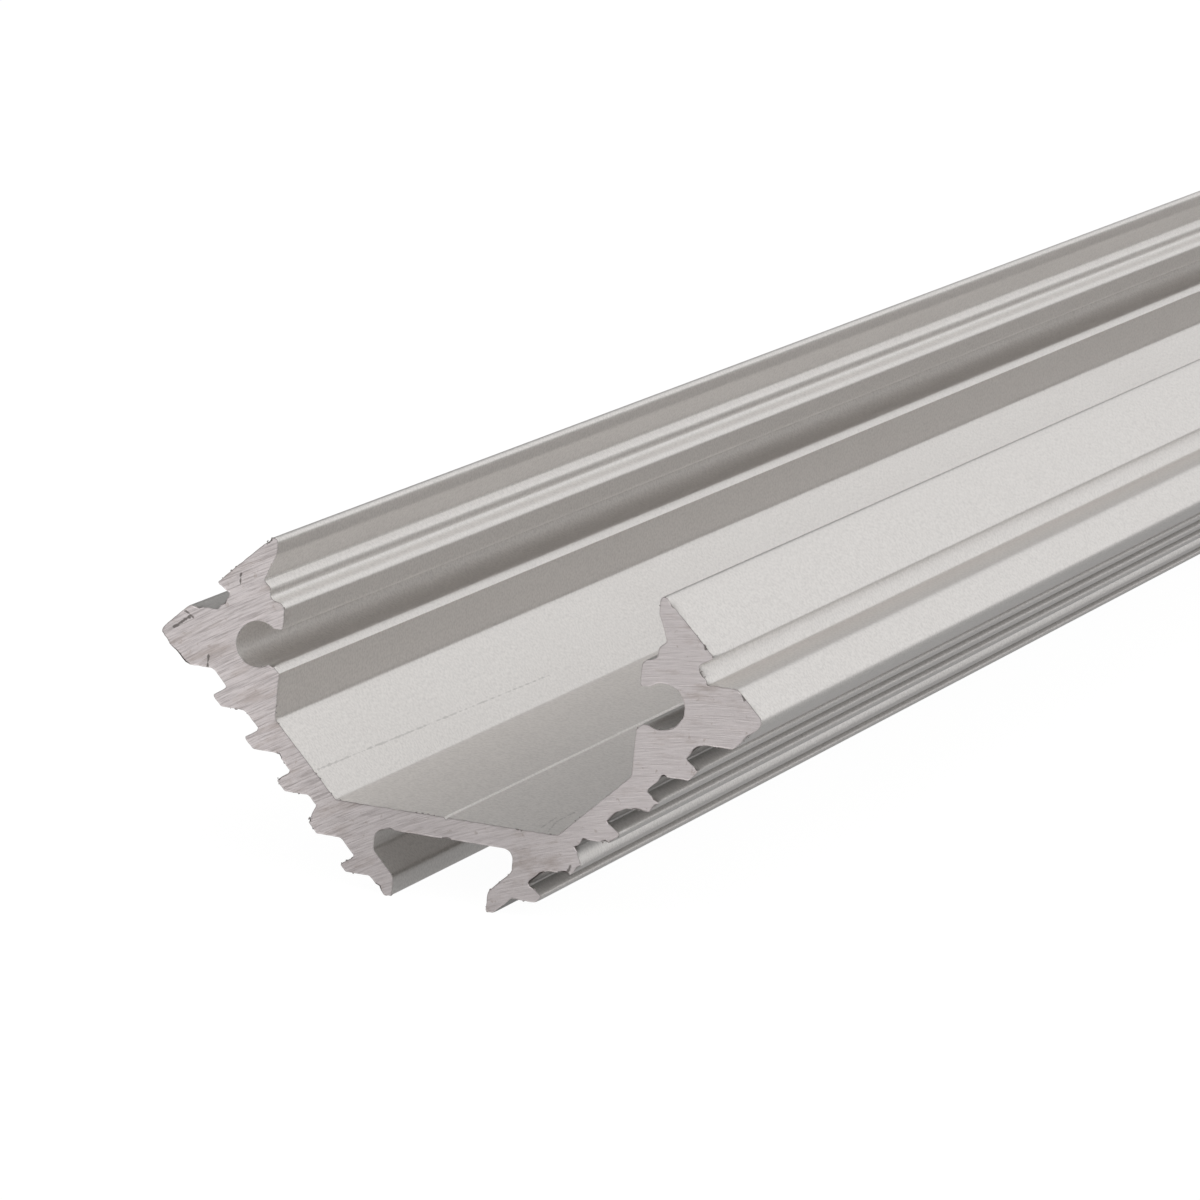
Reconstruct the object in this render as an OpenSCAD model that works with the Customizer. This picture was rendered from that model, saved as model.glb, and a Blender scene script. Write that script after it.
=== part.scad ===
// Aluminium corner profile for an LED strip: one extruded bar with two toothed legs at a right angle,
// a flat floor for the strip between slanted sides, a snap pocket for a round-edged cover in each arm
// and an undercut slot for mounting clips along the corner.
// The section lies in x and z, the bar runs along y, and it stands on the two lips of its clip slot.

/* [Bar] */
// Length of the bar
bar_length = 500; // [100:50:3000]

/* [LED channel] */
// Width of the flat floor that takes the strip
floor_width = 10.1; // [8.5:0.1:14]
// Thickness of the web under the floor
floor_wall = 0.95; // [0.7:0.05:1.5]
// Clear width between the upright walls
channel_width = 16.2; // [15:0.1:20]
// Height of the upright walls above the floor
channel_wall_height = 5.06; // [4:0.05:6.5]
// Width of the fine centring line scored in the floor, twice its depth
centre_line = 0.18; // [0.1:0.01:0.6]

/* [Cover pockets] */
// Radius of the round pocket that holds the edge of the cover
pocket_radius = 0.99; // [0.7:0.01:1.2]
// Height of the pocket's mouth, from the chamfer up to the snap bump
pocket_mouth = 1.5; // [1:0.05:1.7]
// Distance from the pocket's centre to the face of the upright wall
pocket_inset = 1.07; // [1:0.01:1.5]
// Size of the lead-in chamfer on top of the upright wall
chamfer = 0.38; // [0.2:0.01:0.5]
// Wall between the pocket and the decorative notch in the leg end
pocket_wall = 0.45; // [0.3:0.05:0.8]

/* [Snap bumps and arm tips] */
// Height of the face of the bump
bump_height = 1.11; // [0.8:0.01:1.5]
// Rise of the bump's sloping top
bump_rise = 0.37; // [0.2:0.01:0.6]
// How far the bump stands in front of the neck above it
bump_depth = 0.7; // [0.4:0.05:0.9]
// Height of the hollow neck between the bump and the tip
neck_height = 1.73; // [1.2:0.01:2.2]
// Extra depth of the neck at its deepest line
neck_depth = 0.34; // [0.2:0.01:0.5]
// Height of that line above the bump
neck_rise = 0.69; // [0.4:0.01:1]
// Extra depth of the neck at the top of its steep foot
foot_depth = 0.14; // [0.05:0.01:0.2]
// Height of that foot
foot_rise = 0.4; // [0.2:0.01:0.5]
// How far the tip stands out over the neck's lower edge
tip_reach = 0.15; // [0:0.01:0.4]
// Thickness of the arm between the neck and the leg-end face
tip_wall = 1.17; // [0.9:0.01:1.6]
// How far the arm's outer face leans in at its top
tip_lean = 0.1; // [0:0.01:0.4]
// Radius of the rounded tip
tip_radius = 0.33; // [0.2:0.01:0.4]

/* [Legs] */
// Thickness of each leg, from the tooth tips to its inner face
leg_wall = 1.67; // [1.4:0.01:2.2]
// How far the rounded bead on the leg's end stands proud of the teeth
bead_proud = 0.15; // [0:0.01:0.3]
// Length of the bead along the leg
bead_length = 2; // [1.5:0.01:3]
// Radius of the bead's nose
bead_radius = 0.35; // [0.2:0.01:0.7]
// Height of the decorative notch's mouth in the leg-end face
notch_mouth = 1.15; // [0.8:0.01:1.5]
// Height of the notch's bottom above the shelf in front of it
notch_rise = 0.75; // [0.4:0.01:0.9]
// Length of that flat shelf
notch_shelf = 1.32; // [0.8:0.01:1.5]

/* [Teeth] */
// Distance from one tooth to the next
tooth_pitch = 2.28; // [2:0.01:3]
// Width of the groove between two teeth at its mouth
groove_width = 1.62; // [1.3:0.01:1.8]
// Depth of the grooves
groove_depth = 0.78; // [0.4:0.01:0.9]
// Undercut of each groove below its lower tooth
groove_undercut = 0.18; // [0:0.01:0.3]
// Broader root, in place of the undercut, on the tooth that backs the corner of the floor
root_lean = 0.3; // [0:0.01:0.4]
// Shortest land that may be left on the tooth next to the clip slot
last_land = 0.3; // [0.1:0.05:0.5]

/* [Clip slot] */
// Width inside the slot
slot_width = 6.28; // [5:0.01:7]
// Width of the slot's mouth between the lips
slot_mouth = 4.28; // [3.5:0.01:4.8]
// Width of the flat foot on each lip
lip_foot = 0.36; // [0.25:0.01:0.6]
// Height of the lips below the last tooth
lip_height = 0.74; // [0.5:0.01:1]

/* [Edge radii] */
// Small radius on tooth edges, lips and bumps
edge_radius = 0.13; // [0.05:0.01:0.2]
// Soft radius at the foot of a groove, wall or neck
soft_radius = 0.4; // [0.2:0.01:0.5]
// Radius in the upper corners of the clip slot
slot_radius = 0.9; // [0.3:0.01:1]

/* [Hidden] */
$fn = 48;
// How far a rounding cut or fill reaches past the sharp corner, and how much its arc is oversize,
// so that it meets the two sides at a clean crossing and leaves no hair-thin face
past_corner = 0.05;
arc_oversize = 0.001;
// The largest share of a side that one rounding may take
side_share = 0.48;

// Heights are measured from the LED floor, and the two legs' tooth planes would meet this far below it
corner_drop = floor_width / 2 + leg_wall * sqrt(2);
// Below the last tooth the lips carry on at the depth of the grooves, down to their feet
lip_face = corner_drop - groove_depth * sqrt(2);
foot_level = slot_mouth / 2 + lip_foot - lip_face;
last_tooth_level = foot_level + lip_height;

// Channel, pocket, bump, neck and tip, from the floor up, on the right-hand side
wall_x = channel_width / 2;
mouth_low = channel_wall_height + chamfer;
mouth_high = mouth_low + pocket_mouth;
pocket_x = wall_x + pocket_inset;
pocket_level = (mouth_low + mouth_high) / 2;
bump_top = mouth_high + bump_height;
neck_x = wall_x + bump_depth;
neck_low = bump_top + bump_rise;
neck_middle = neck_low + neck_rise;
neck_high = neck_low + neck_height;
tip_x = neck_x - tip_reach;

// The leg-end face is the line x + z = end_sum, and it fixes the length of the legs
end_sum = neck_x + neck_depth + neck_middle + tip_wall * sqrt(2);
leg_length = (end_sum + corner_drop) / sqrt(2);

// Decorative notch
shelf_level = on_leg(leg_length, leg_wall)[1];
notch_x = pocket_x + pocket_radius + pocket_wall;
notch_level = shelf_level + notch_rise;

// Grooves, counted from the bead down to the last tooth that still has its land
first_groove = leg_length - bead_length - groove_width;
floor_corner = (floor_width / 2 + corner_drop) / sqrt(2);
leg_start = (last_tooth_level + corner_drop) * sqrt(2);
groove_count = 1 + floor((first_groove - leg_start - last_land) / tooth_pitch);

// A point of the section from its place along the leg's outer face and its depth below that face
function on_leg(along, depth) = [(along - depth) / sqrt(2), (along + depth) / sqrt(2) - corner_drop];

// A corner of an outline: a point and the radius that rounds it
function corner(point, radius) = [point[0], point[1], radius];

function spot(c) = [c[0], c[1]];
function unit(v) = v / norm(v);

// The same corners on the left-hand side, in the order that carries the outline on
function mirrored(corners) = [
    for (i = [len(corners) - 1:-1:0]) [-corners[i][0], corners[i][1], corners[i][2]]
];

// Undercut of the groove that starts at this distance along the leg, and the groove's four corners
function undercut(along) = abs(along - floor_corner) < tooth_pitch / 2 ? -root_lean : groove_undercut;
function groove(along) = [
    corner(on_leg(along, 0), edge_radius),
    corner(on_leg(along - undercut(along), groove_depth), edge_radius),
    corner(on_leg(along + groove_width - groove_depth, groove_depth), soft_radius),
    corner(on_leg(along + groove_width, 0), edge_radius),
];

// Clip slot and lip, from the slot's roof down to the last tooth
slot_corners = [
    [slot_width / 2, -floor_wall, slot_radius],
    [slot_width / 2, slot_width / 2 - floor_width / 2, soft_radius],
    [slot_mouth / 2, slot_mouth / 2 - floor_width / 2, soft_radius],
    [slot_mouth / 2, foot_level, edge_radius],
    [slot_mouth / 2 + lip_foot, foot_level, edge_radius],
    [lip_face + last_tooth_level, last_tooth_level, edge_radius],
    [corner_drop + last_tooth_level, last_tooth_level, edge_radius],
];

// All grooves up the leg, the last one ending at the bead, which stands proud of the teeth
tooth_corners = [
    for (i = [groove_count - 1:-1:1]) each groove(first_groove - i * tooth_pitch),
    for (i = [0:2]) groove(first_groove)[i],
    corner(on_leg(first_groove + groove_width + bead_proud, -bead_proud), edge_radius),
];

// Bead, shelf, decorative notch and the outer face of the tip
end_corners = [
    corner(on_leg(leg_length, -bead_proud), bead_radius),
    [end_sum - shelf_level, shelf_level, soft_radius],
    [end_sum - shelf_level - notch_shelf, shelf_level, edge_radius],
    [notch_x, notch_level, edge_radius],
    [end_sum - shelf_level - notch_mouth, shelf_level + notch_mouth, edge_radius],
    [tip_x, end_sum - tip_x - tip_lean, tip_radius],
];

// Inner side of the arm, down to the floor and its centring line
arm_corners = [
    [tip_x, neck_high, soft_radius],
    [neck_x + neck_depth, neck_middle, soft_radius],
    [neck_x + foot_depth, neck_low + foot_rise, edge_radius],
    [neck_x, neck_low, edge_radius],
    [wall_x, bump_top, edge_radius],
    [wall_x, mouth_high, edge_radius],
    [pocket_x, mouth_high, 0],
    [pocket_x, mouth_low, 0],
    [wall_x + chamfer, mouth_low, 0],
    [wall_x, channel_wall_height, edge_radius / 2],
    [wall_x, wall_x - floor_width / 2, soft_radius],
    [floor_width / 2, 0, edge_radius],
    [centre_line / 2, 0, 0],
];

half_corners = concat(slot_corners, tooth_corners, end_corners, arm_corners);

// The sliver between a sharp corner b and the arc that rounds it, no wider than its two sides allow
module corner_sliver(a, b, c) {
    to_a = unit(spot(a) - spot(b));
    to_c = unit(spot(c) - spot(b));
    inward = unit(to_a + to_c);
    half_angle = acos(to_a * to_c) / 2;
    shortest = min(norm(spot(a) - spot(b)), norm(spot(c) - spot(b)));
    reach = min(b[2] / tan(half_angle), side_share * shortest);
    radius = reach * tan(half_angle);
    difference() {
        polygon([spot(b) - past_corner * inward, spot(b) + reach * to_a, spot(b) + reach * to_c]);
        translate(spot(b) + radius / sin(half_angle) * inward)
            circle(radius + arc_oversize);
    }
}

// Slivers at the outward corners (side = 1) or the inward corners (side = -1) of an outline
module slivers(corners, side) {
    count = len(corners);
    for (i = [0:count - 1]) {
        a = corners[(i + count - 1) % count];
        b = corners[i];
        c = corners[(i + 1) % count];
        if (b[2] > 0 && side * cross(spot(b) - spot(a), spot(c) - spot(b)) > 0)
            corner_sliver(a, b, c);
    }
}

// A closed outline with each corner rounded by its own radius
module rounded_outline(corners) {
    difference() {
        union() {
            polygon([for (c = corners) spot(c)]);
            slivers(corners, -1);
        }
        slivers(corners, 1);
    }
}

// The bar's section, with the floor at height 0
module section() {
    difference() {
        rounded_outline(concat(half_corners, [[0, -centre_line / 2, 0]], mirrored(half_corners)));
        for (side = [-1, 1])
            translate([side * pocket_x, pocket_level])
                circle(pocket_radius);
    }
}

module corner_profile() {
    color("silver")
        translate([0, bar_length / 2, -foot_level])
            rotate([90, 0, 0])
                linear_extrude(bar_length)
                    section();
}

corner_profile();
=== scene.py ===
# %% [markdown]
# # A sawn aluminium corner profile for LED strip
# This notebook dresses one extruded bar of satin anodised aluminium. The bar is made at its real size,
# and it stands with the middle of its footprint at the origin: x runs across it, z runs up, and the bar
# lies along y. It is ready to be looked at from any side, so everything below belongs to the metal itself
# or to a plain studio.
#
# The first cell loads the finished solid. It is never moved or bent here. It tells the later cells where
# the sawn ends are and what the section looks like.

from math import cos, radians, sin

import bmesh
import bpy
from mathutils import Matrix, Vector


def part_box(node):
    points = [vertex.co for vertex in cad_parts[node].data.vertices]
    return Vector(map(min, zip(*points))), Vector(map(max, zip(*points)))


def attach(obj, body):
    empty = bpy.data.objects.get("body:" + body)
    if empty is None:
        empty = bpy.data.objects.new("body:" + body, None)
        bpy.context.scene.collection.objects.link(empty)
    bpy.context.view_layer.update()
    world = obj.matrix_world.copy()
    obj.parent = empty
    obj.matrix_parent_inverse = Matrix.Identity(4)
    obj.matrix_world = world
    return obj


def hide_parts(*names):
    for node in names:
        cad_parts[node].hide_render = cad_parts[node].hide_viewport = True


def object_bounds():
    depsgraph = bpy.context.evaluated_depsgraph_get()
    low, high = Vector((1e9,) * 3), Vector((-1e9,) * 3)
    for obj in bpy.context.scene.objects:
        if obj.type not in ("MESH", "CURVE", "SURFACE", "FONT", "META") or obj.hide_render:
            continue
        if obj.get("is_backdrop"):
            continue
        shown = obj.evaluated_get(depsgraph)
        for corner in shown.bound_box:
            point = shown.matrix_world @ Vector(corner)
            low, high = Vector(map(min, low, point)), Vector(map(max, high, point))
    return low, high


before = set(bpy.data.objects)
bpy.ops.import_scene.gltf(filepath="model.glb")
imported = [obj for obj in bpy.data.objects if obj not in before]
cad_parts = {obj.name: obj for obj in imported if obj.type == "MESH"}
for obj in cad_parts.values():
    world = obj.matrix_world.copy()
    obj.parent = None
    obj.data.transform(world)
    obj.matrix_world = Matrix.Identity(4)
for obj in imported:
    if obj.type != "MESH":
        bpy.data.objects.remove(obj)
NODE = "corner_profile"
cad_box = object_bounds()
low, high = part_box(NODE)
MM = 0.001
print("bar", [round(side / MM, 2) for side in high - low], "mm")

# %% [markdown]
# ## The camera
# The picture was taken with a long lens, close to the near end and a little above it, with the camera
# leaning over by a few degrees. A wide lens nearer by would show the same end, but the two long edges
# would run together quickly, and a long lens keeps them almost parallel. The camera's place is given from
# the middle of the near end, and its turn as three angles in degrees: up from straight down, roll, and
# pan.

# %% Camera
camera_side = 117.58 * MM
camera_before_end = 336.81 * MM
camera_height = 79.69 * MM
camera_turn = (79.49, -5.1177, 19.2772)
lens_length = 256.65

camera_data = bpy.data.cameras.new("long_lens")
camera_data.lens = lens_length
camera_data.sensor_width = 36
camera_data.clip_start = 0.01
camera = bpy.data.objects.new("camera", camera_data)
camera.location = (camera_side, low.y - camera_before_end, camera_height)
camera.rotation_euler = [radians(angle) for angle in camera_turn]
bpy.context.scene.collection.objects.link(camera)
bpy.context.scene.camera = camera
bpy.context.scene.view_settings.view_transform = "Standard"
print("camera at", [round(side / MM, 1) for side in camera.location], "mm")

# %% [markdown]
# ## Writing node trees as sums
# Shader and geometry trees are both made of nodes joined by wires, and a long sum takes many Math nodes.
# They can be placed one by one, but then the sum is hard to read. The class below wraps one output socket
# instead, so that `1 - mask * 0.5` adds its Math nodes by itself, and the sum stays a sum on the page.

# %% Wires
def math_of(operation, swapped=False):
    """A method that adds a Math node for a wire and one more term, in this order or swapped."""

    def method(wire, other):
        first, second = (other, wire) if swapped else (wire, other)
        return wire.math(operation, first, second)

    return method


class Wire:
    """An output socket whose arithmetic adds Math nodes to its board."""

    def __init__(self, board, socket):
        self.board, self.socket = board, socket

    def math(self, operation, *terms):
        return self.board.add("ShaderNodeMath", {"operation": operation}, dict(enumerate(terms)))[0]

    __add__, __radd__ = math_of("ADD"), math_of("ADD", swapped=True)
    __sub__, __rsub__ = math_of("SUBTRACT"), math_of("SUBTRACT", swapped=True)
    __mul__, __rmul__ = math_of("MULTIPLY"), math_of("MULTIPLY", swapped=True)
    __truediv__, __rtruediv__ = math_of("DIVIDE"), math_of("DIVIDE", swapped=True)
    __pow__, __rpow__ = math_of("POWER"), math_of("POWER", swapped=True)
    __mod__, __rmod__ = math_of("FLOORED_MODULO"), math_of("FLOORED_MODULO", swapped=True)
    __lt__, __gt__ = math_of("LESS_THAN"), math_of("GREATER_THAN")
    least, most, turn_over = math_of("MINIMUM"), math_of("MAXIMUM"), math_of("ARCTAN2")

    def __neg__(self):
        return self.math("MULTIPLY", self, -1)

    def __abs__(self):
        return self.math("ABSOLUTE", self)

    def floor(self):
        return self.math("FLOOR", self)

    def sign(self):
        return self.math("SIGN", self)


FADE_BASE = 2.718


def fading(distance):
    """1 at no distance, and less and less further off."""
    return FADE_BASE ** (distance * -1)


print("a wire also knows", [name for name in vars(Wire) if not name.startswith("__")])

# %% [markdown]
# A Board wraps a whole tree. Its one method `add` makes any node from its type, its settings and the
# values of its inputs. Some nodes have several sockets of one name, one for each kind of data, and only
# one of them is switched on, so sockets are looked up among those. The other methods are short names for
# the few nodes that the metal needs again and again.

# %% Boards
def pick(sockets, key):
    """A socket by its number, or by its name among those that the node's settings have switched on."""
    if isinstance(key, int):
        return sockets[key]
    return next(socket for socket in sockets if socket.enabled and socket.name == key)


class Placed:
    """A node on a board. Its outputs are read by name or by number, as wires."""

    def __init__(self, board, node):
        self.board, self.node = board, node

    def __getitem__(self, key):
        return Wire(self.board, pick(self.node.outputs, key))


class Board:
    """A node tree that is built in code."""

    def __init__(self, tree):
        self.tree = tree

    def add(self, kind, settings=None, inputs=None):
        node = self.tree.nodes.new(kind)
        for name, value in (settings or {}).items():
            setattr(node, name, value)
        for key, value in (inputs or {}).items():
            self.feed(pick(node.inputs, key), value)
        return Placed(self, node)

    def feed(self, socket, value):
        if isinstance(value, Wire):
            self.tree.links.new(value.socket, socket)
        else:
            socket.default_value = value

    def vector(self, operation, *terms, **named):
        """A Vector Math node's result, which is a vector or a number."""
        inputs = {**dict(enumerate(terms)), **named}
        node = self.add("ShaderNodeVectorMath", {"operation": operation}, inputs)
        return next(Wire(self, output) for output in node.node.outputs if output.enabled)

    def split(self, vector):
        node = self.add("ShaderNodeSeparateXYZ", None, {0: vector})
        return node[0], node[1], node[2]

    def join(self, x, y, z):
        return self.add("ShaderNodeCombineXYZ", None, {0: x, 1: y, 2: z})[0]

    def noise(self, place, scale, detail=2.0, roughness=0.5):
        inputs = {"Vector": place, "Scale": scale, "Detail": detail, "Roughness": roughness}
        return self.add("ShaderNodeTexNoise", None, inputs)[0]

    def between(self, value, start, end):
        """0 below start, 1 above end, and a smooth step in between."""
        settings = {"interpolation_type": "SMOOTHSTEP"}
        return self.add("ShaderNodeMapRange", settings, {0: value, 1: start, 2: end})[0]

    def mix(self, share, first, second):
        """The second colour laid over the first by this share."""
        return self.add("ShaderNodeMix", {"data_type": "RGBA"}, {0: share, 6: first, 7: second})[2]


def clear_board(owner):
    """An empty board for a world's or a material's nodes."""
    owner.use_nodes = True
    owner.node_tree.nodes.clear()
    return Board(owner.node_tree)


print("a board knows", [name for name in vars(Board) if not name.startswith("_")])

# %% [markdown]
# ## The studio
# Bare metal shows its surroundings more than its own colour, so the studio matters as much as the
# material. The bar was photographed in a white tent. Lamps could stand in for it, but each would show on
# the metal as a hard spot, so the world itself is the tent: one even level of white all round. A few soft
# shades hang in it on the right, behind, and high on the left, and without them every face of the bar would
# have the same grey. A Light Path node makes the tent plain white to the camera alone.

# %% Tent
tent_level = 1.12
shade_sharpness = 10
# The soft shades: how far round from the right and how far up each hangs, in degrees, and its depth
shades = [(30, 8, 0.59), (90, 8, 0.18), (120, 8, 0.74), (90, 35, 0.13), (135, 35, 0.77), (180, 62, 0.82)]
WHITE = (1, 1, 1, 1)


def toward(turn, rise):
    """The way to a place in the tent, as a vector of length 1."""
    level = cos(radians(rise))
    return (level * cos(radians(turn)), level * sin(radians(turn)), sin(radians(rise)))


world = bpy.data.worlds.new("white_tent")
board = clear_board(world)
seen = board.add("ShaderNodeLightPath")["Is Camera Ray"]
way = board.add("ShaderNodeTexCoord")["Generated"]
tent = tent_level
for turn, rise, depth in shades:
    off_shade = 1 - board.vector("DOT_PRODUCT", way, toward(turn, rise))
    tent = tent - fading(off_shade * shade_sharpness) * depth
tent = tent.most(0.0)
strength = tent + seen * (1 - tent)
sky = board.add("ShaderNodeBackground", None, {"Color": WHITE, "Strength": strength})
board.add("ShaderNodeOutputWorld", None, {"Surface": sky[0]})
bpy.context.scene.world = world
print("tent:", len(shades), "shades,", len(world.node_tree.nodes), "nodes")

# %% [markdown]
# The floor is a pale sheet that takes a faint shadow. White paint alone would look grey in the picture,
# and more light would burn out the metal. So the sheet also shines softly: almost white to the camera,
# and much less in the metal, which sees the floor as darker than the tent above it.

# %% Floor
floor_paint = (0.62, 0.62, 0.61, 1)
floor_reach = 6.0
camera_white, camera_share = 1.1, 0.88
metal_glow, metal_share = 0.39, 0.9


def floor_material():
    material = bpy.data.materials.new("pale_floor")
    board = clear_board(material)
    path = board.add("ShaderNodeLightPath")
    seen, mirrored = path["Is Camera Ray"], path["Is Glossy Ray"]
    paint = board.add("ShaderNodeBsdfDiffuse", None, {"Color": floor_paint})
    glow = seen * camera_white + mirrored * metal_glow
    white = board.add("ShaderNodeEmission", None, {"Color": WHITE, "Strength": glow})
    share = seen * camera_share + mirrored * metal_share
    shown = board.add("ShaderNodeMixShader", None, {0: share, 1: paint[0], 2: white[0]})
    board.add("ShaderNodeOutputMaterial", None, {"Surface": shown[0]})
    return material


floor_mesh = bpy.data.meshes.new("studio_floor")
corners = [(-1, -1), (1, -1), (1, 1), (-1, 1)]
floor_mesh.from_pydata([(x * floor_reach, y * floor_reach, low.z) for x, y in corners], [], [(0, 1, 2, 3)])
floor_mesh.materials.append(floor_material())
studio_floor = bpy.data.objects.new("studio_floor", floor_mesh)
bpy.context.scene.collection.objects.link(studio_floor)
studio_floor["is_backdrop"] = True
print("floor:", 2 * floor_reach, "m wide, at z =", low.z)

# %% [markdown]
# ## A metal's first and last nodes
# Both finishes of the bar are one metal under two treatments, so both trees start and end alike. A
# painted image would need a file and would blur up close, while noise in a tree stays sharp at any
# distance. Everything is in millimetres, read from Object coordinates, so the grain has one size on every
# face. The fine relief is far too small to model, so a Bump node tilts the light instead.

# %% Start and finish of a metal
def start_metal(name):
    material = bpy.data.materials.new(name)
    board = clear_board(material)
    place = board.add("ShaderNodeTexCoord")["Object"]
    return material, board, board.vector("SCALE", place, Scale=1 / MM)


def finish_metal(material, board, height, relief, colour, roughness):
    """Ends a tree in a metal surface whose light is tilted by this height, in metres of relief."""
    bump = board.add("ShaderNodeBump", None, {"Height": height, "Distance": relief, "Strength": 1.0})
    inputs = {"Metallic": 1.0, "Normal": bump[0], "Base Color": colour, "Roughness": roughness}
    surface = board.add("ShaderNodeBsdfPrincipled", None, inputs)
    board.add("ShaderNodeOutputMaterial", None, {"Surface": surface[0]})
    print(material.name, "has", len(material.node_tree.nodes), "nodes")


# %% [markdown]
# ## Scratches and gouges
# The channel has a few stray scratches from handling, and the saw left short gouges in the end. Each runs
# along a line between two points. The distance from that line makes a mask, and a little noise added to
# the distance frays its edge, so that it looks like damage and not like a drawn stroke. A curve object
# would do too, but it would lie on the metal instead of in it.

# %% Lines on a surface
line_core, line_edge = 0.3, 0.7


def line_mask(board, place, start, end, width, ragged):
    """1 on a line from start to end and 0 away from it. Ragged, a wire in millimetres, frays its edge."""
    run = Vector(end) - Vector(start)
    from_start = board.vector("SUBTRACT", place, start)
    reached = board.vector("DOT_PRODUCT", from_start, run / run.length_squared).most(0.0).least(1.0)
    gap = board.vector("DISTANCE", from_start, board.vector("SCALE", run, Scale=reached))
    return 1 - board.between(gap + ragged, width * line_core, width * line_edge)


def all_lines(board, place, lines, frayed, per_mm):
    """One mask for all of these lines, their edges frayed by this many millimetres."""
    ragged = (board.noise(place, per_mm, detail=2.0) - 0.5) * frayed
    mask = 0.0
    for start, end, width in lines:
        mask = line_mask(board, place, start, end, width, ragged).most(mask)
    return mask


# Scratches inside the channel: two ends, in mm, and a width
stray_marks = [
    ((-6.13, -249.6, 4.89), (-5.96, -233.0, 4.72), 0.05),
    ((-5.96, -233.0, 4.72), (-5.83, -220.6, 4.59), 0.035),
    ((4.52, -249.7, 3.81), (4.11, -247.5, 3.81), 0.08),
    ((4.11, -247.5, 3.81), (4.08, -245.0, 3.81), 0.06),
    ((4.02, -249.3, 3.81), (3.80, -246.6, 3.81), 0.05),
]
# Gouges on the near end: two ends, in mm, and a width
gouges = [
    ((-13.08, -250, 10.18), (-12.43, -250, 10.71), 0.13),
    ((-12.60, -250, 10.94), (-12.25, -250, 10.73), 0.09),
    ((-10.23, -250, 12.90), (-10.21, -250, 12.49), 0.08),
    ((-11.41, -250, 9.27), (-11.40, -250, 8.66), 0.08),
    ((-9.16, -250, 14.41), (-8.99, -250, 14.57), 0.12),
    ((5.74, -250, 2.57), (5.68, -250, 2.35), 0.13),
    ((3.19, -250, 3.79), (3.42, -250, 3.74), 0.10),
    ((9.83, -250, 14.22), (10.09, -250, 13.89), 0.16),
    ((10.54, -250, 13.22), (10.89, -250, 12.77), 0.13),
    ((12.51, -250, 11.24), (12.80, -250, 10.83), 0.12),
    ((8.18, -250, 11.96), (8.55, -250, 12.16), 0.10),
]
print(len(stray_marks), "scratches and", len(gouges), "gouges")

# %% [markdown]
# ## Where the skin is rougher, and where shade is painted
# The toothed grooves along the outside of each leg get painted shade deep inside. The round cover pocket
# in each arm is rougher inside, and the right one gets painted shade as well. Each of these is told by its
# place in the section, so two masks made of x and z are enough, and no face has to be picked by hand.

# %% Groove and pocket masks
leg_plane, leg_turn = 3.603, 45
groove_starts, groove_full, groove_fades, groove_ends = 0.3, 0.7, 0.85, 1.0
bead_starts, bead_full = 21.3, 21.9
pocket_side, pocket_level, pocket_reach, pocket_edge = 9.17, 10.0, 1.05, 0.1


def groove_mask(board, x, z):
    """1 deep in the grooves of the legs and 0 on their teeth, on the faces inside and on the beads."""
    depth = (z - abs(x) + leg_plane) * cos(radians(leg_turn))
    in_groove = board.between(depth, groove_starts, groove_full)
    in_groove = in_groove * (1 - board.between(depth, groove_fades, groove_ends))
    return in_groove * (1 - board.between(abs(x) + z, bead_starts, bead_full))


def pocket_mask(board, x, z):
    """1 on the walls of the two round cover pockets."""
    middle = (pocket_side, 0, pocket_level)
    from_middle = board.vector("DISTANCE", board.join(abs(x), 0.0, z), middle)
    return 1 - board.between(from_middle, pocket_reach - pocket_edge, pocket_reach)


# In the grooves this span is where shade is painted; round each pocket the skin is rougher, and the right
# one also gets painted shade.
print("dull from", groove_starts, "to", groove_ends, "mm deep, and", pocket_reach, "mm round each pocket")

# %% [markdown]
# ## The satin anodised skin
# The extruded faces were etched matt and then anodised. Up close they glitter with a fine even grain, and
# the die has left very faint lines along the bar. The grain is a noise of the same size in all
# directions. The die lines are a second noise, read from coordinates that are squeezed along the bar, so
# that each speck becomes a long streak. Both lift the surface a little and change its gloss a little. A
# clear coat would be the other way, but anodising is part of the metal and has no gloss of its own.

# %% Skin material
skin_colour = (0.845, 0.82, 0.797, 1)
skin_dark = (0.72, 0.697, 0.677, 1)
mark_colour, mark_share = (0.30, 0.29, 0.275, 1), 0.32
# The dark colour of gouges, stains and flakes, also used as painted shade in nicks and along the sawn edge.
dark_mark_and_shade_colour = (0.20, 0.18, 0.17, 1)
BLACK = (0, 0, 0, 1)
# The next two shares darken the skin's colour as painted shade: deep in the leg grooves, and in the right
# cover pocket.
groove_painted_shade, right_pocket_painted_shade = 0.5, 0.3
grain_per_mm, grain_low, grain_high, grain_lift = 8.0, 0.3, 0.65, 0.7
die_lines_per_mm, die_line_squeeze = 7.0, 0.012
patches_per_mm, patch_gloss, line_gloss = 0.12, 0.08, 0.06
skin_roughness, pocket_roughness = 0.42, 0.6
skin_relief = 0.011 * MM
# The name of the mark for how dark each point is painted at the torn edges: stains, flakes, and painted
# shade in nicks and along the sawn edge.
STAIN_AND_SHADE = "torn"


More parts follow.
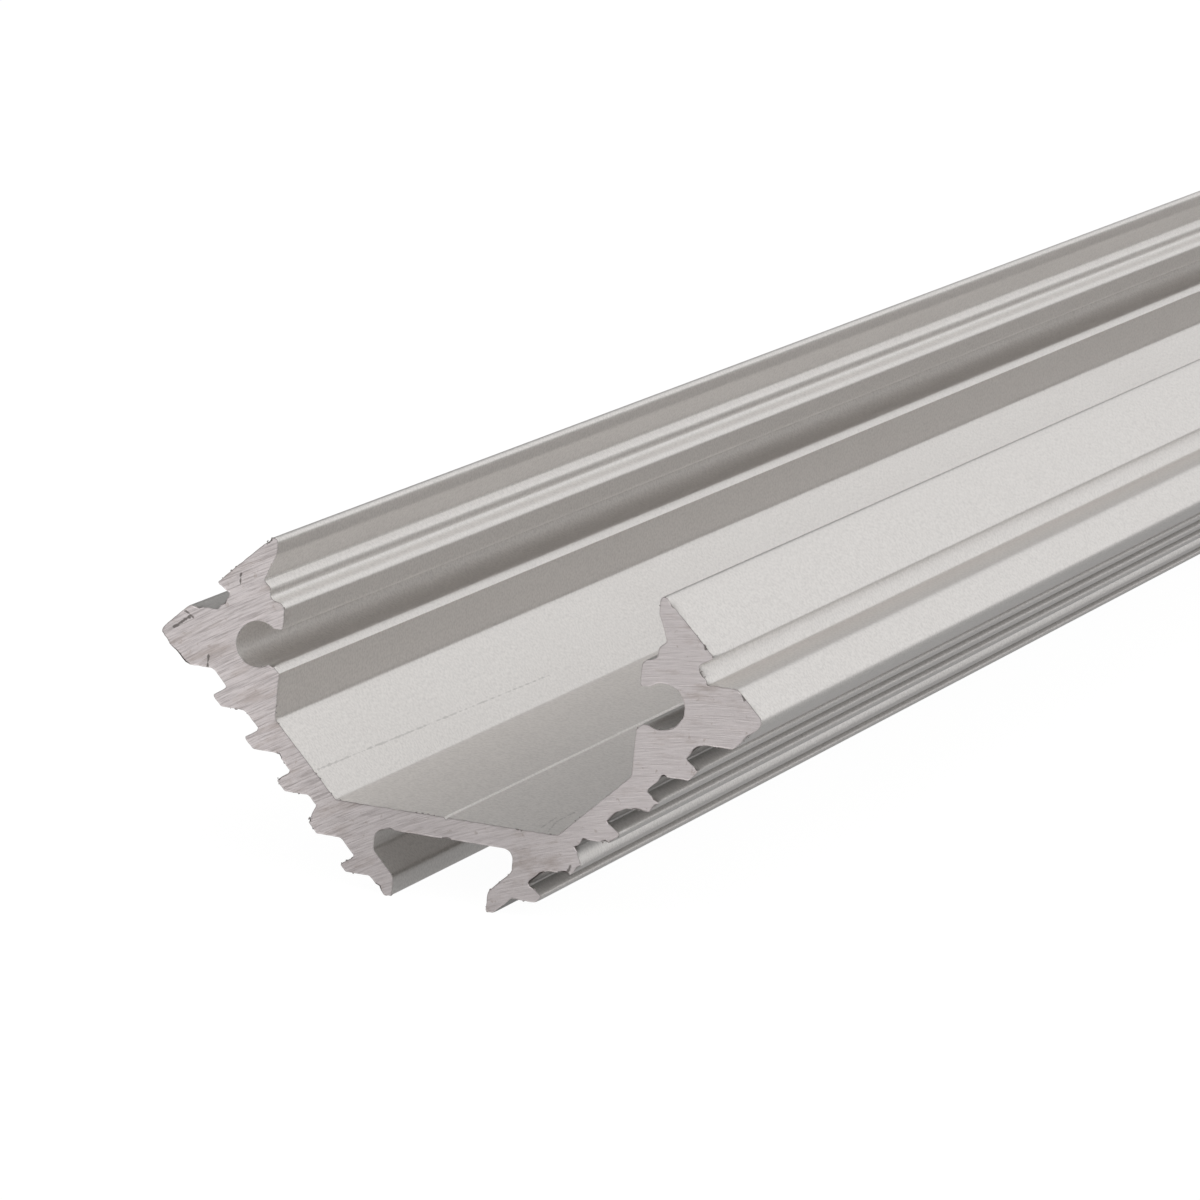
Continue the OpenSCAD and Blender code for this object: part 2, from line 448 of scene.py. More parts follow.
def skin_tone(board, place, grain, in_pocket):
    """The colour of the skin: clean grain, painted shade in the grooves and the right pocket, scratches,
    and torn edges with stains and painted shade.
    """
    x, _, z = board.split(place)
    colour = board.mix(board.between(grain, grain_low, grain_high), skin_dark, skin_colour)
    # Painted shade deep in the grooves of the legs.
    colour = board.mix(groove_mask(board, x, z) * groove_painted_shade, colour, BLACK)
    # Painted shade in the right cover pocket only.
    colour = board.mix(in_pocket * board.between(x, 0.0, 1.0) * right_pocket_painted_shade, colour, BLACK)
    marks = all_lines(board, place, stray_marks, frayed=0.22, per_mm=2.4)
    colour = board.mix(marks * mark_share, colour, mark_colour)
    # The torn edges darken: stains, and painted shade in nicks and along the sawn edge.
    torn = board.add("ShaderNodeAttribute", {"attribute_name": STAIN_AND_SHADE})["Fac"]
    return board.mix(torn, colour, dark_mark_and_shade_colour)


def skin_material():
    material, board, place = start_metal("satin_anodised")
    x, _, z = board.split(place)
    in_pocket = pocket_mask(board, x, z)
    grain = board.noise(place, grain_per_mm, detail=2.0, roughness=0.6)
    squeezed = board.vector("MULTIPLY", place, (1, die_line_squeeze, 1))
    lines = board.noise(squeezed, die_lines_per_mm, detail=2.0)
    patches = board.noise(place, patches_per_mm, detail=1.0)
    roughness = skin_roughness + (patches - 0.5) * patch_gloss + (lines - 0.5) * line_gloss
    roughness = roughness + in_pocket * (pocket_roughness - skin_roughness)
    height = grain * grain_lift + lines * (1 - grain_lift)
    colour = skin_tone(board, place, grain, in_pocket)
    finish_metal(material, board, height, skin_relief, colour, roughness)
    return material


skin = skin_material()

# %% [markdown]
# ## The sawn ends
# A circular saw cut the bar to length. Its teeth left fine bowed scratches in the pinkish grey bare
# metal, with a few dull smears and pits between them. The scratches are parts of rings about the saw's
# centre, which lies far below the bar. Straight streaks would be simpler, but the bow shows on the wide
# web. So the distance from that centre and the turn round it make new coordinates, and a noise on those,
# short across the rings and long round them, gives the scratches.

# %% Saw marks
saw_across, saw_up = 16.5, -35.0
scratch_per_mm, scratch_round = 12.0, 0.8
smear_per_mm, smear_round = 1.1, 0.4


def saw_marks(board, place):
    """The fine scratches and the broad smears that lie round the saw's centre, each as a noise."""
    x, y, z = board.split(place)
    across, up = x - saw_across, z - saw_up
    distance = (across * across + up * up) ** 0.5
    arc = across.turn_over(up) * -saw_up
    ring = board.join(distance * scratch_per_mm, arc * scratch_round, 0.0)
    wide_ring = board.join(distance * smear_per_mm, arc * smear_round, y)
    scratches = board.noise(ring, 1.0, detail=5.0, roughness=0.72)
    return scratches, board.noise(wide_ring, 1.0, detail=5.0, roughness=0.7)


ring_radius = (saw_across ** 2 + saw_up ** 2) ** 0.5
print("the saw's rings have a radius of", round(ring_radius, 1), "mm under the corner slot")

# %% [markdown]
# The saw pressed harder on the left arm, where the scratches are deepest. Both arms get a painted sheen
# that makes them brighter than the web between them. The colour is built up in layers, as a painter would:
# clean metal and dark scratches first, then brown smears and pits, then the painted sheen of the arms, and
# the gouges and torn edges, with their stains and painted shade, last.

# %% Sawn material
cut_colour = (0.80, 0.743, 0.74, 1)
cut_dark = (0.48, 0.435, 0.43, 1)
cut_brown = (0.48, 0.412, 0.378, 1)
cut_roughness, smear_gloss = 0.5, 0.2
cut_relief = 0.016 * MM
light_bite, bite_starts, bite_full = 0.4, -8.0, 9.0
scratch_low, scratch_high = 0.3, 0.6
smear_low, smear_high, smear_share = 0.5, 0.7, 0.55
pits_per_mm, pit_low, pit_high, pit_share = 3.2, 0.62, 0.72, 0.5
gouge_share = 0.85
# Painted sheen: how bright the middle is painted, and how much brighter each arm is painted, from one x to
# another
painted_sheen_middle = 0.92
painted_sheen_left, left_starts, left_full = 0.28, 2.0, 9.0
painted_sheen_right, right_starts, right_full = 0.12, 3.0, 9.0


def sawn_tone(board, place, scratches, smears):
    """The colour of a sawn end, from bare metal to smears, pits, the painted sheen of the arms, gouges and
    torn edges with stains and painted shade.
    """
    x, _, _ = board.split(place)
    bite = light_bite + (1 - light_bite) * board.between(x * -1, bite_starts, bite_full)
    clean = 1 - (1 - board.between(scratches, scratch_low, scratch_high)) * bite
    pits = board.noise(place, pits_per_mm, detail=3.0, roughness=0.6)
    colour = board.mix(clean, cut_dark, cut_colour)
    colour = board.mix(board.between(smears, smear_low, smear_high) * smear_share, colour, cut_brown)
    colour = board.mix(board.between(pits, pit_low, pit_high) * pit_share, colour, cut_brown)
    # Painted sheen: the colour is scaled up on both arms, most on the left.
    painted_sheen = painted_sheen_middle + painted_sheen_left * board.between(-x, left_starts, left_full)
    painted_sheen = painted_sheen + painted_sheen_right * board.between(x, right_starts, right_full)
    colour = board.vector("SCALE", colour, Scale=painted_sheen)
    gouged = all_lines(board, place, gouges, frayed=0.2, per_mm=5.0)
    # The torn edges darken: stains, and painted shade in nicks and along the sawn edge.
    torn = board.add("ShaderNodeAttribute", {"attribute_name": STAIN_AND_SHADE})["Fac"]
    return board.mix((gouged * gouge_share).most(torn), colour, dark_mark_and_shade_colour)


def sawn_material():
    material, board, place = start_metal("sawn_aluminium")
    scratches, smears = saw_marks(board, place)
    roughness = cut_roughness + (smears - 0.5) * smear_gloss
    colour = sawn_tone(board, place, scratches, smears)
    finish_metal(material, board, scratches, cut_relief, colour, roughness)
    return material


cut = sawn_material()

# %% [markdown]
# ## The outline of the section
# An extrusion is a rule: one outline, carried along a line. The outline could be drawn again here, but
# then it might drift away from the solid. So it is read from the solid's own near end: the edges that
# have the end face on one side and the skin on the other make one closed loop, and walking it gives its
# points in order.

# %% Read the near end
merge_reach = 0.001 * MM
faces_near = -0.9


def end_loop(node):
    """The points round the near end of the solid, in order."""
    solid = bmesh.new()
    solid.from_mesh(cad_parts[node].data)
    bmesh.ops.remove_doubles(solid, verts=solid.verts, dist=merge_reach)
    end = {face for face in solid.faces if face.normal.y < faces_near}
    rim = [edge for edge in solid.edges if sum(face in end for face in edge.link_faces) == 1]
    beside = {}
    for edge in rim:
        for point in edge.verts:
            beside.setdefault(point, []).append(edge.other_vert(point))
    loop = list(rim[0].verts)
    while len(loop) < len(rim):
        loop.append(next(point for point in beside[loop[-1]] if point is not loop[-2]))
    places = [point.co.copy() for point in loop]
    solid.free()
    return places


places = end_loop(NODE)
print("outline:", len(places), "points")

# %% [markdown]
# Two small forms of the die show in the bright lines that they draw along the bar: the lower lip of each
# cover pocket, and the bump and the neck above it. They are cut into the outline here, a tenth of a
# millimetre or two off the solid, as short lists of corners on the right side. The left side is their
# mirror image.

# %% Cut small forms of the die
corner_cut, most_of_side = 0.05 * MM, 0.25
# Corners as x and z in mm, from one corner of the solid to another
pocket_lip = [(8.66, 9.15), (8.40, 9.15), (8.10, 8.87), (8.10, 8.82)]
bump_and_neck = [(8.10, 10.88), (8.10, 11.70), (8.26, 11.89), (8.62, 12.00), (8.76, 12.11), (8.81, 12.52),
                 (9.12, 12.80), (8.78, 13.70)]


def softened(corners):
    """The corners, each bend cut into two gentler ones."""
    soft = [corners[0]]
    for before, after in zip(corners, corners[1:]):
        share = min(most_of_side, corner_cut / (after - before).length)
        soft += [before.lerp(after, share), before.lerp(after, 1 - share)]
    return soft


def recut(places, corners):
    """The outline with these corners in place of its own between the first of them and the last."""
    first, last = (min(range(len(places)), key=lambda index: (places[index] - corner).length)
                   for corner in (corners[0], corners[-1]))
    if (last - first) % len(places) > len(places) / 2:
        first, last, corners = last, first, corners[::-1]
    steps_left = (first - last) % len(places)
    kept = [places[(last + step) % len(places)] for step in range(steps_left + 1)]
    return kept + softened(corners)[1:]


for form in (pocket_lip, bump_and_neck):
    for side in (MM, -MM):
        places = recut(places, [Vector((x * side, low.y, z * MM)) for x, z in form])
print("outline with its small forms:", len(places), "points")

# %% [markdown]
# The solid's arcs have many points that crowd together, and every one of them would be repeated in every
# ring of the sweep. So points that lie closer than a few hundredths of a millimetre are left out, while
# sharp corners stay, because they give the section its look.

# %% Thin the outline
point_spacing = 0.06 * MM
sharp_turn = radians(30)


def is_sharp(places, index):
    before = places[index] - places[index - 1]
    after = places[(index + 1) % len(places)] - places[index]
    return before.angle(after) > sharp_turn


def thinned(places):
    """The outline without crowded points, its sharp corners kept. It starts at one of those."""
    sharp = [is_sharp(places, index) for index in range(len(places))]
    start = sharp.index(True)
    kept = []
    for index in [*range(start, len(places)), *range(start)]:
        crowded = kept and (places[kept[-1]] - places[index]).length < point_spacing
        if crowded and sharp[index] and not sharp[kept[-1]]:
            kept.pop()
            crowded = False
        if not crowded:
            kept.append(index)
    if (places[kept[-1]] - places[start]).length < point_spacing:
        kept.pop()
    return [places[index] for index in kept]


def loop_mesh(places):
    mesh = bpy.data.meshes.new("anodised_bar")
    mesh.from_pydata(places, [(index, (index + 1) % len(places)) for index in range(len(places))], [])
    return mesh


outline_mesh = loop_mesh(thinned(places))
print("thinned outline:", len(outline_mesh.vertices), "points")

# %% [markdown]
# ## The bar as a sweep in Geometry Nodes
# The outline is carried through rings that crowd together at the two sawn ends, where they are torn a
# little, as a saw tears an edge. A Curve with a bevel object would sweep it too, but it has no room for
# torn ends, and sculpting can't be repeated. The tree has a named input for each size, so that each can
# be tried out on its own. Seed stands for the one random choice in it: which cut of the saw this is.

# %% Start the tree
bar_inputs = {
    "Near end": ("NodeSocketFloat", low.y),
    "Far end": ("NodeSocketFloat", high.y),
    "Side": ("NodeSocketFloat", high.x),
    "Top": ("NodeSocketFloat", high.z),
    "Outline step": ("NodeSocketFloat", 0.22 * MM),
    "First ring": ("NodeSocketFloat", 0.04 * MM),
    "Ring growth": ("NodeSocketFloat", 1.8),
    "Rings at each end": ("NodeSocketInt", 8),
    "Rim width": ("NodeSocketFloat", 0.05 * MM),
    "Rim height": ("NodeSocketFloat", 0.02 * MM),
    "Tear reach": ("NodeSocketFloat", 0.22 * MM),
    "Tear": ("NodeSocketFloat", 0.04 * MM),
    "Nick depth": ("NodeSocketFloat", 0.08 * MM),
    "Outer bias": ("NodeSocketFloat", 0.09),
    # The next input sets how dark the thin line of painted shade along the sawn edge is.
    "Rim painted shade": ("NodeSocketFloat", 0.45),
    "Flakes": ("NodeSocketInt", 420),
    "Flake length": ("NodeSocketFloat", 0.16 * MM),
    "Seed": ("NodeSocketInt", 11),
    "Skin": ("NodeSocketMaterial", skin),
    "Cut": ("NodeSocketMaterial", cut),
}


def start_tree(name, inputs):
    """A geometry tree with these named inputs, its board, and the wires of its inputs."""
    tree = bpy.data.node_groups.new(name, "GeometryNodeTree")
    tree.interface.new_socket(name="Geometry", in_out="INPUT", socket_type="NodeSocketGeometry")
    tree.interface.new_socket(name="Geometry", in_out="OUTPUT", socket_type="NodeSocketGeometry")
    for label, (kind, _) in inputs.items():
        tree.interface.new_socket(name=label, in_out="INPUT", socket_type=kind)
    board = Board(tree)
    return tree, board, board.add("NodeGroupInput")


tree, board, given = start_tree("swept_bar", bar_inputs)
print("tree with", len(bar_inputs), "named inputs")

# %% [markdown]
# First the loop of points becomes a closed curve, and its long sides are split into short steps, so that
# a tear has points to move. How many cuts a side gets is worked out from the gap to the next point. The
# curve's way outwards is its tangent turned a quarter. Which quarter depends on the way that the loop
# runs round, and the sign of the area that it encloses tells that.

# %% Outline as a curve
def near_outline(board, loop, step):
    """The closed outline as a curve, its long sides split into short steps."""
    rim = board.add("GeometryNodeMeshToCurve", None, {"Mesh": loop})
    place = board.add("GeometryNodeInputPosition")[0]
    following = board.add("GeometryNodeOffsetPointInCurve", None, {"Offset": 1})["Point Index"]
    settings = {"data_type": "FLOAT_VECTOR", "domain": "POINT"}
    there = board.add("GeometryNodeFieldAtIndex", settings, {"Index": following, "Value": place})
    cuts = (board.vector("DISTANCE", place, there["Value"]) / step).floor()
    return board.add("GeometryNodeSubdivideCurve", None, {"Curve": rim[0], "Cuts": cuts})[0]


def outward_of(board, outline):
    """The places on the outline, and its way outwards at each of them."""
    place = board.add("GeometryNodeInputPosition")[0]
    tangent = board.add("GeometryNodeInputTangent")[0]
    swept = board.split(board.vector("CROSS_PRODUCT", place, tangent))[1]
    settings = {"data_type": "FLOAT", "domain": "POINT"}
    inputs = {"Geometry": outline, "Attribute": swept}
    area = board.add("GeometryNodeAttributeStatistic", settings, inputs)
    return place, board.vector("CROSS_PRODUCT", tangent, board.join(0.0, area["Sum"].sign(), 0.0))


outline = near_outline(board, given["Geometry"], given["Outline step"])
place, outward = outward_of(board, outline)
print("outline's nodes:", len(tree.nodes))

# %% [markdown]
# ## Torn edges
# The blade left the edges ragged: slightly torn all round, with nicks and burrs here and there, and dark
# stains where dirt caught in them. The nicks get painted shade, and a thin line of painted shade runs along
# the whole sawn edge. The outer edges, where the teeth left the metal, are the worst. Each kind of damage
# is a noise read along the outline, cut off at its own height, so that clean stretches stay clean. It is
# strongest at the edge and fades out a little way along the bar.

# %% Damage along the edge
far_shift = 40.0
tear_per_mm, tear_starts, tear_gain = 3.2, 0.62, 2
nick_per_mm, nick_starts, nick_full = 1.9, 0.6, 0.68
stain_per_mm, stain_starts, stain_full = 2.6, 0.5, 0.66
burr_per_mm, burr_starts, burr_gain = 2.1, 0.35, 3
# The first share is painted shade in the nicks, the second the darkness of the stains.
nick_painted_shade, stain_dark = 0.8, 0.3


def damage(board, given, spot, out, far):
    """How far the edge is torn in, nicked, stained and raised in a burr at a place of the outline."""
    shift = board.join(0.0, given["Seed"] + far * far_shift, 0.0)
    here = board.vector("ADD", board.vector("SCALE", spot, Scale=1 / MM), shift)
    side = board.split(spot)[0]
    outer = board.split(out)[0] * side / abs(side).most(MM) * given["Outer bias"]
    tear = (board.noise(here, tear_per_mm, detail=3.0) - tear_starts).least(0.0) * tear_gain
    nick = board.noise(here, nick_per_mm, detail=2.0) + outer
    nick = board.between(nick, nick_starts, nick_full)
    stain = board.noise(here, stain_per_mm, detail=3.0) + outer
    stain = board.between(stain, stain_starts, stain_full)
    burr = (board.noise(here, burr_per_mm, detail=2.0) - burr_starts).most(0.0) * burr_gain
    return tear * given["Tear"], nick, stain, burr * given["Rim height"]


def torn_place(board, given, spot, out, far, run, on_rim, at_edge):
    """Where a point of the outline lies on a ring that is this far from its sawn end, and how dark it is
    painted: stains, and painted shade in nicks and along the sawn edge.
    far, on_rim and at_edge are 1 at the far end, for the ring inside the rim and for the sawn edge."""
    tear, nick, stain, burr = damage(board, given, spot, out, far)
    fade = fading(run / given["Tear reach"])
    reach_out = (tear - nick * given["Nick depth"]) * fade - given["Rim width"] * on_rim
    edge_depth = (given["Rim height"] - burr).most(0.0) + nick * given["Nick depth"]
    depth = edge_depth * at_edge + given["Rim height"] * on_rim + run
    y = given["Near end"] + depth + (given["Far end"] - given["Near end"] - 2 * depth) * far
    x, _, z = board.split(board.vector("ADD", spot, board.vector("SCALE", out, Scale=reach_out)))
    # Painted shade in the nicks, and the stains, darken the colour near the edge.
    torn = (nick * nick_painted_shade).most(stain * stain_dark) * fade * (1 - on_rim)
    # A thin line of painted shade runs along the whole sawn edge.
    return x, y, z, torn.most(at_edge * given["Rim painted shade"])


print("nicks start where their noise passes", nick_starts, "and are full at", nick_full)

# %% [markdown]
# ## A flat map and marks on the mesh
# Other programs need each finish as a flat picture, so every corner of the mesh gets a place on a flat
# map. On the skin, one way of the map counts the rings and the other runs round the outline. The sawn
# ends and their flakes lie in a strip beside it. An automatic unwrap would cut the long skin into odd
# islands. Two more marks are kept for the materials: which faces are sawn, and how dark each point is
# painted at the torn edges, with stains and with painted shade in nicks and along the sawn edge.

# %% Marks and flat map
SAWN, FLAT_MAP = "sawn", "OFBake"
RING_SHARE, SKIN_SHARE = 0.004, 0.88
strip_fill, strip_edge, far_half, flake_shift = 0.9, 0.01, 0.5, 0.25


def store(board, geometry, name, kind, domain, value):
    settings = {"data_type": kind, "domain": domain}
    inputs = {"Geometry": geometry, "Name": name, "Value": value}
    return board.add("GeometryNodeStoreNamedAttribute", settings, inputs)[0]


def mark(board, geometry, sawn, torn, flat_place):
    """Keeps which faces are sawn, how dark each point is painted at the torn edges (stains and painted
    shade), and each corner's place on a flat map.
    """
    marked = store(board, geometry, SAWN, "FLOAT", "FACE", sawn)
    marked = store(board, marked, STAIN_AND_SHADE, "FLOAT", "POINT", torn)
    settings = {"data_type": "FLOAT_VECTOR", "domain": "POINT"}
    on_points = board.add("GeometryNodeFieldOnDomain", settings, {"Value": flat_place})["Value"]
    return store(board, marked, FLAT_MAP, "FLOAT2", "CORNER", on_points)


def on_strip(board, x, z, far, shift):
    """A place on the flat map for a point of a sawn face, in the strip beside the skin."""
    scale = (1 - SKIN_SHARE) * strip_fill / (high.z - low.z)
    u = (x - low.x) * scale + strip_edge + far * far_half + shift
    return board.join(u, (z - low.z) * scale + SKIN_SHARE + strip_edge, 0.0)


print("flat map: skin up to", SKIN_SHARE, "and", round(1 - SKIN_SHARE, 2), "for the sawn ends")

# %% [markdown]
# ## The skin of the bar
# The skin is a grid of points rolled up round the outline, one row for each ring. The rings at each end
# crowd together, the first a few hundredths of a millimetre from the edge and each next gap nearly twice
# as long, and one long step joins the two ends, because nothing changes between them. Repeating a ring
# with instances would leave the rings unjoined, while a grid is joined from the start.

# %% Skin as a rolled sheet
def sample(board, geometry, kind, value, index):
    settings = {"data_type": kind, "domain": "POINT"}
    inputs = {"Geometry": geometry, "Index": index, "Value": value}
    return board.add("GeometryNodeSampleIndex", settings, inputs)["Value"]


def ring_place(board, given, outline, place, outward, ring, column, last_ring):
    """Where the sheet's point of this ring and column lies, how dark it is painted at a torn edge (stains
    and painted shade), and whether it is far.
    """
    step_in = (ring - 1).least(last_ring - 1 - ring)
    on_rim, at_edge = step_in < -0.5, (step_in < 0.5) * (step_in > -0.5)
    far = ring * 2 > last_ring
    growth = given["Ring growth"]
    run = given["First ring"] * (growth ** step_in.most(0.0) - 1) / (growth - 1)
    spot = sample(board, outline, "FLOAT_VECTOR", place, column)
    out = sample(board, outline, "FLOAT_VECTOR", outward, column)
    x, y, z, torn = torn_place(board, given, spot, out, far, run, on_rim, at_edge)
    return board.join(x, y, z), torn, far


def rolled_sheet(board, given, outline, place, outward):
    """A grid of points, one row for each ring, rolled up round the outline."""
    size = board.add("GeometryNodeAttributeDomainSize", {"component": "CURVE"}, {"Geometry": outline})
    count = size["Point Count"]
    last_ring = 2 * given["Rings at each end"] + 1
    grid = board.add("GeometryNodeMeshGrid", None, {"Vertices X": last_ring + 1, "Vertices Y": count + 1})
    index = board.add("GeometryNodeInputIndex")[0]
    ring = ((index + 0.5) / (count + 1)).floor()
    column = index - ring * (count + 1)
    there, torn, far = ring_place(board, given, outline, place, outward, ring, column % count, last_ring)
    rolled = board.add("GeometryNodeSetPosition", None, {"Geometry": grid[0], "Position": there})
    face_ring = ((index + 0.5) / count).floor()
    sawn = (face_ring < 0.5) + (face_ring > last_ring - 1.5)
    factor = board.add("GeometryNodeSplineParameter")["Factor"]
    along = sample(board, outline, "FLOAT", factor, column % count)
    u = (ring + (1 / RING_SHARE - 1 - last_ring) * far) * RING_SHARE
    v = (along + (column > count - 0.5)) * SKIN_SHARE
    return mark(board, rolled[0], sawn, torn, board.join(u, v, 0.0))


parts = [rolled_sheet(board, given, outline, place, outward)]
print("nodes with the skin:", len(tree.nodes))

# %% [markdown]
# ## The sawn faces
# Each sawn face is the outline filled in, just inside the rim. Fill Curve only fills curves that lie flat
# in x and y, so the outline is laid down, filled, and stood up again. A fan of triangles from the middle
# would be simpler, but the section is so hollow that most of them would cross open air.

# %% Sawn faces
def flat_cap(board, given, outline, place, outward, far):
    """The flat of a sawn face, filled in inside its rim."""
    x, y, z, _ = torn_place(board, given, place, outward, far, 0.0, 1.0, 0.0)
    lying = {"Geometry": outline, "Position": board.join(x, z, 0.0)}
    laid = board.add("GeometryNodeSetPosition", None, lying)
    filled = board.add("GeometryNodeFillCurve", None, {"Curve": laid[0]})
    x, z, _ = board.split(board.add("GeometryNodeInputPosition")[0])
    there = board.join(x, y, z)
    stood_up = board.add("GeometryNodeSetPosition", None, {"Geometry": filled[0], "Position": there})
    return mark(board, stood_up[0], 1.0, 0.0, on_strip(board, x, z, far, 0.0))


parts += [flat_cap(board, given, outline, place, outward, far) for far in (0.0, 1.0)]
print("nodes with the sawn faces:", len(tree.nodes))

# %% [markdown]
# ## Burr flakes
# Small flakes of metal still hang on the edge, in groups. They are tiny balls, strewn on points along the
# outline, stretched, bent by a noise and flattened against the end. A slow noise chooses where the groups
# are, and a random number chooses the flakes in each. Placing them by hand would be slow, and a displaced
# edge can't overhang as a flake does.

# %% Flakes
flake_offset, group_per_mm, group_starts, group_full, group_share = 9.0, 0.5, 0.45, 0.6, 0.45
size_seed, least_flake, most_flake = 7, (0.16, 0.3, 0.3), (0.4, 0.5, 1.0)
wobble_per_mm, wobble_share, flake_torn = 9.0, 0.6, 0.7


def strewn_balls(board, given, outline, here, seed):
    """Balls of random sizes on some of the points along the outline."""
    counted = {"Curve": outline, "Count": given["Flakes"]}
    points = board.add("GeometryNodeCurveToPoints", {"mode": "COUNT"}, counted)
    chance = board.add("FunctionNodeRandomValue", {"data_type": "FLOAT"}, {"Seed": seed})["Value"]
    group = board.between(board.noise(here, group_per_mm, detail=1.0), group_starts, group_full)
    limits = {"Seed": seed + size_seed, "Min": least_flake, "Max": most_flake}
    size = board.add("FunctionNodeRandomValue", {"data_type": "FLOAT_VECTOR"}, limits)["Value"]
    size = board.vector("SCALE", size, Scale=given["Flake length"])
    ball = board.add("GeometryNodeMeshIcoSphere", None, {"Radius": 0.5, "Subdivisions": 1})
    inputs = {"Points": points["Points"], "Selection": group * group_share > chance, "Instance": ball[0],
              "Rotation": points["Rotation"], "Scale": size}
    hung = board.add("GeometryNodeInstanceOnPoints", None, inputs)
    return board.add("GeometryNodeRealizeInstances", None, {"Geometry": hung[0]})[0]


def burr_flakes(board, given, outline, far):
    """Flakes that hang on a sawn edge, flattened against the end and kept inside the bar's box."""
    place = board.add("GeometryNodeInputPosition")[0]
    shift = board.join(0.0, given["Seed"] + flake_offset + far * far_shift, 0.0)
    here = board.vector("ADD", board.vector("SCALE", place, Scale=1 / MM), shift)
    balls = strewn_balls(board, given, outline, here, given["Seed"] + far)
    wobble = board.add("ShaderNodeTexNoise", None, {"Vector": here, "Scale": wobble_per_mm})["Color"]
    wobble = board.vector("SUBTRACT", wobble, (0.5, 0.5, 0.5))
    wobble = board.vector("SCALE", wobble, Scale=given["Flake length"] * wobble_share)
    x, y, z = board.split(board.vector("ADD", place, wobble))
    y = (y + given["Rim height"]).most(given["Near end"])
    y = y + (given["Far end"] + given["Near end"] - 2 * y) * far
    x = x.least(given["Side"]).most(given["Side"] * -1)
    z = z.least(given["Top"]).most(0.0)
    flat = {"Geometry": balls, "Position": board.join(x, y, z)}
    kept_in = board.add("GeometryNodeSetPosition", None, flat)
    return mark(board, kept_in[0], 1.0, flake_torn, on_strip(board, x, z, far, flake_shift))


parts += [burr_flakes(board, given, outline, far) for far in (0.0, 1.0)]
print("nodes with the flakes:", len(tree.nodes))

# %% [markdown]
# ## Join, smooth and coat
# The skin and the two sawn faces share their points along the rim, so merging by a tiny distance closes
# the bar. Everything is shaded smooth except where two faces meet at more than a set angle, which keeps
# the teeth and the rim crisp. Set Material comes last: the skin's on everything, then the bare metal on
# the sawn faces.

# %% Finish the tree
WELD_REACH = 0.0002 * MM
crease = radians(32)


def joined_parts(board, parts):
    joined = board.add("GeometryNodeJoinGeometry")
    for part in parts:
        board.feed(joined.node.inputs[0], part)
    inputs = {"Geometry": joined[0], "Distance": WELD_REACH}
    return board.add("GeometryNodeMergeByDistance", None, inputs)[0]


def creased_mesh(board, mesh):
    smooth = board.add("GeometryNodeSetShadeSmooth", {"domain": "FACE"}, {"Geometry": mesh})
    angle = board.add("GeometryNodeInputMeshEdgeAngle")["Unsigned Angle"]
    inputs = {"Geometry": smooth[0], "Selection": angle > crease, "Shade Smooth": False}
    return board.add("GeometryNodeSetShadeSmooth", {"domain": "EDGE"}, inputs)[0]


whole = creased_mesh(board, joined_parts(board, parts))
real = board.add("GeometryNodeRealizeInstances", None, {"Geometry": whole})
coated = board.add("GeometryNodeSetMaterial", None, {"Geometry": real[0], "Material": given["Skin"]})
sawn = board.add("GeometryNodeInputNamedAttribute", {"data_type": "FLOAT"}, {"Name": SAWN})
bared = {"Geometry": coated[0], "Selection": sawn[0] > 0.5, "Material": given["Cut"]}
bare = board.add("GeometryNodeSetMaterial", None, bared)
board.add("NodeGroupOutput", None, {"Geometry": bare[0]})
print("tree:", len(tree.nodes), "nodes,", len(tree.links), "links")

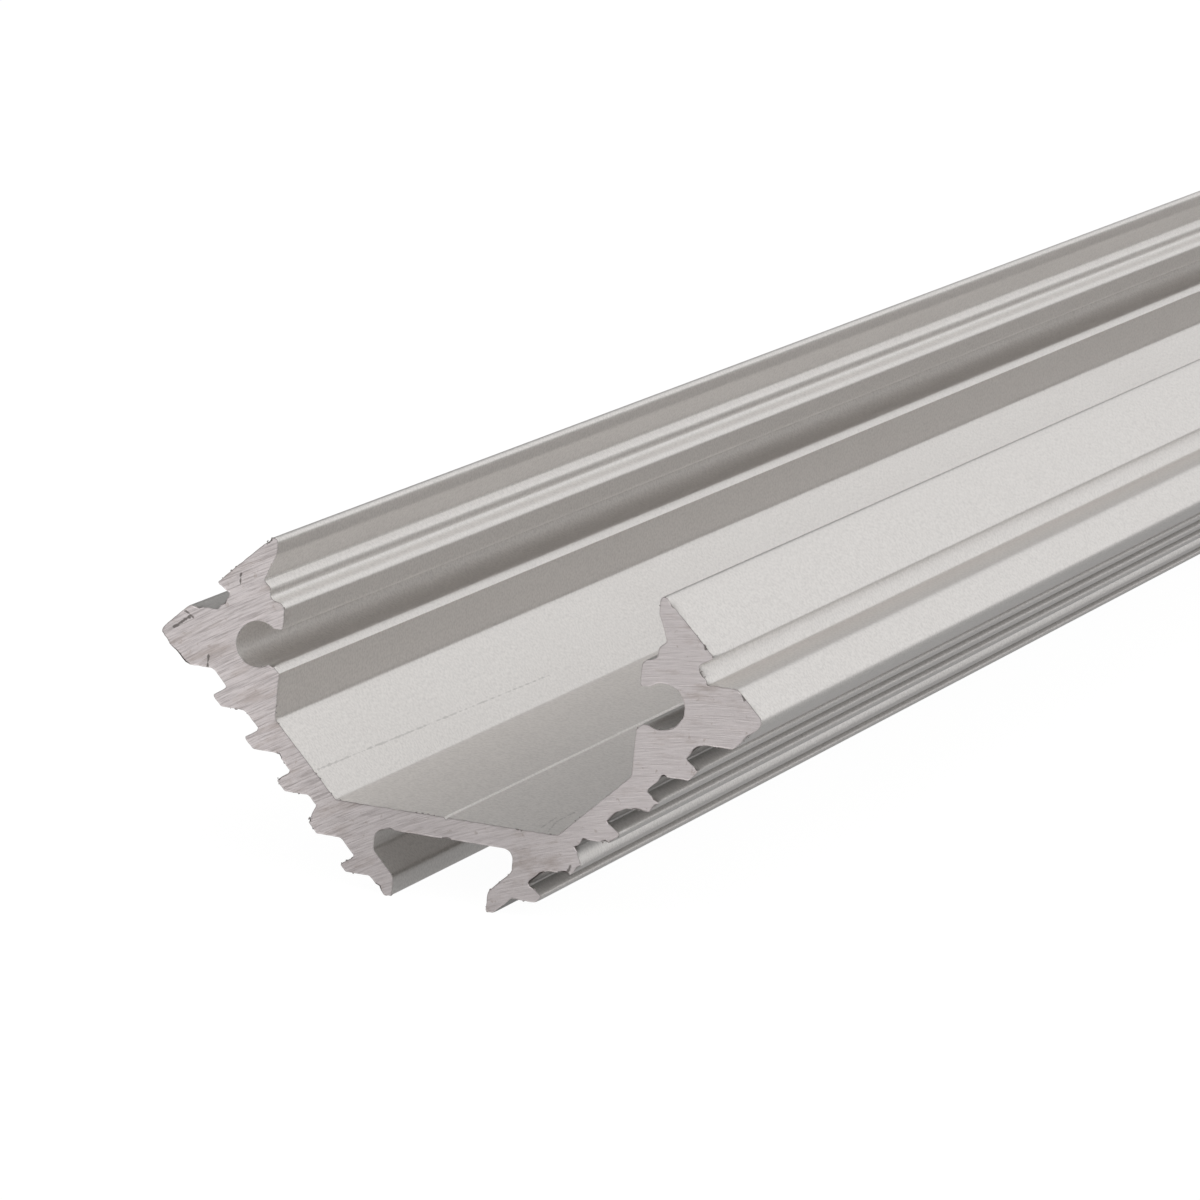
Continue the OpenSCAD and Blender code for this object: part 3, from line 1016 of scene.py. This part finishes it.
# %% [markdown]
# ## From tree to mesh
# A modifier only shows its result. To hand over a plain mesh, the tree is put on a seed object, each
# input is set by its socket's identifier, and the evaluated result is copied out. The seed goes, and with
# it the modifier. Faces are then turned outwards, and the number of open edges tells whether the bar is
# closed.

# %% Bake the bar
def grow(mesh, tree, inputs):
    """The mesh that the tree makes out of this one, without a modifier."""
    seed_object = bpy.data.objects.new("seed", mesh)
    bpy.context.scene.collection.objects.link(seed_object)
    modifier = seed_object.modifiers.new("tree", "NODES")
    modifier.node_group = tree
    for item in tree.interface.items_tree:
        if item.in_out == "INPUT" and item.name in inputs:
            modifier[item.identifier] = inputs[item.name][1]
    depsgraph = bpy.context.evaluated_depsgraph_get()
    grown = bpy.data.meshes.new_from_object(seed_object.evaluated_get(depsgraph))
    bpy.data.objects.remove(seed_object)
    while None in list(grown.materials):
        grown.materials.pop(index=list(grown.materials).index(None))
    return grown


def turned_outwards(mesh):
    shell = bmesh.new()
    shell.from_mesh(mesh)
    bmesh.ops.recalc_face_normals(shell, faces=shell.faces)
    if shell.calc_volume(signed=True) < 0:
        bmesh.ops.reverse_faces(shell, faces=shell.faces)
    open_edges = sum(not edge.is_manifold for edge in shell.edges)
    print("volume", round(shell.calc_volume() / MM**3, 1), "mm3, open edges", open_edges)
    shell.to_mesh(mesh)
    shell.free()
    return mesh


bar_mesh = turned_outwards(grow(outline_mesh, tree, bar_inputs))
print("bar:", len(bar_mesh.vertices), "points,", len(bar_mesh.polygons), "faces,",
      [material.name for material in bar_mesh.materials])

# %% [markdown]
# The finished mesh goes into one object at the origin, unturned and unscaled. It rides on the one body
# that the bar has, stands in for the solid, and wears the satin anodised skin and the bare sawn metal.

# %% Hand over the bar
bar = bpy.data.objects.new("anodised_bar", bar_mesh)
bpy.context.scene.collection.objects.link(bar)
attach(bar, "root")
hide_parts(NODE)
print(bar.name, "is", [round(side / MM, 2) for side in bar.dimensions], "mm")

# %% [markdown]
# ## Last look at the sizes
# The dressed bar is meant to stay inside the solid's own box. Both boxes are printed, so that they can be
# compared.

# %% Sizes
sizes = {"cad": cad_box, "visual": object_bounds()}
sizes = {name: [list(corner) for corner in box] for name, box in sizes.items()}
print(sizes)
